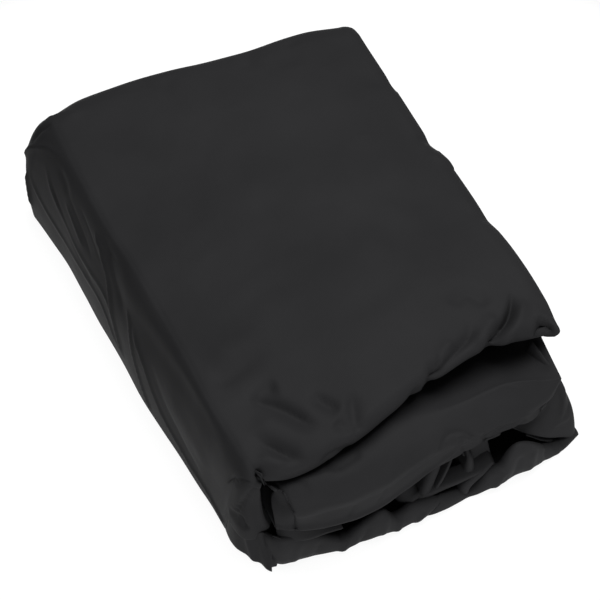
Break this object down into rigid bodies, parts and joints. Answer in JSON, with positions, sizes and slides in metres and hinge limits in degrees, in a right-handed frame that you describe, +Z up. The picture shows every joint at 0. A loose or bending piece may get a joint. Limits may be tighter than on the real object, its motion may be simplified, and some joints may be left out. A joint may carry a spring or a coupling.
{
  "type": "folded motorcycle cover",
  "caption": "Soft black motorcycle cover folded back and forth into a thick rectangular bundle, with a closed fold down one side and layered fold lips at the front end",
  "frame": {"origin": "centre of the bundle's footprint, on the surface that it lies on", "axes": "+Z up; +Y along the bundle's length to its rolled back end, so the layered fold lips face -Y; +X to the open side, so the closed fold is on -X"},
  "size_m": [0.2558, 0.381, 0.0904],
  "materials": {
    "cover_cloth": "fine-woven coated polyester, soft low sheen"
  },
  "bodies": {
    "root": {"folded_cover": "cover_cloth"}
  },
  "joints": []
}
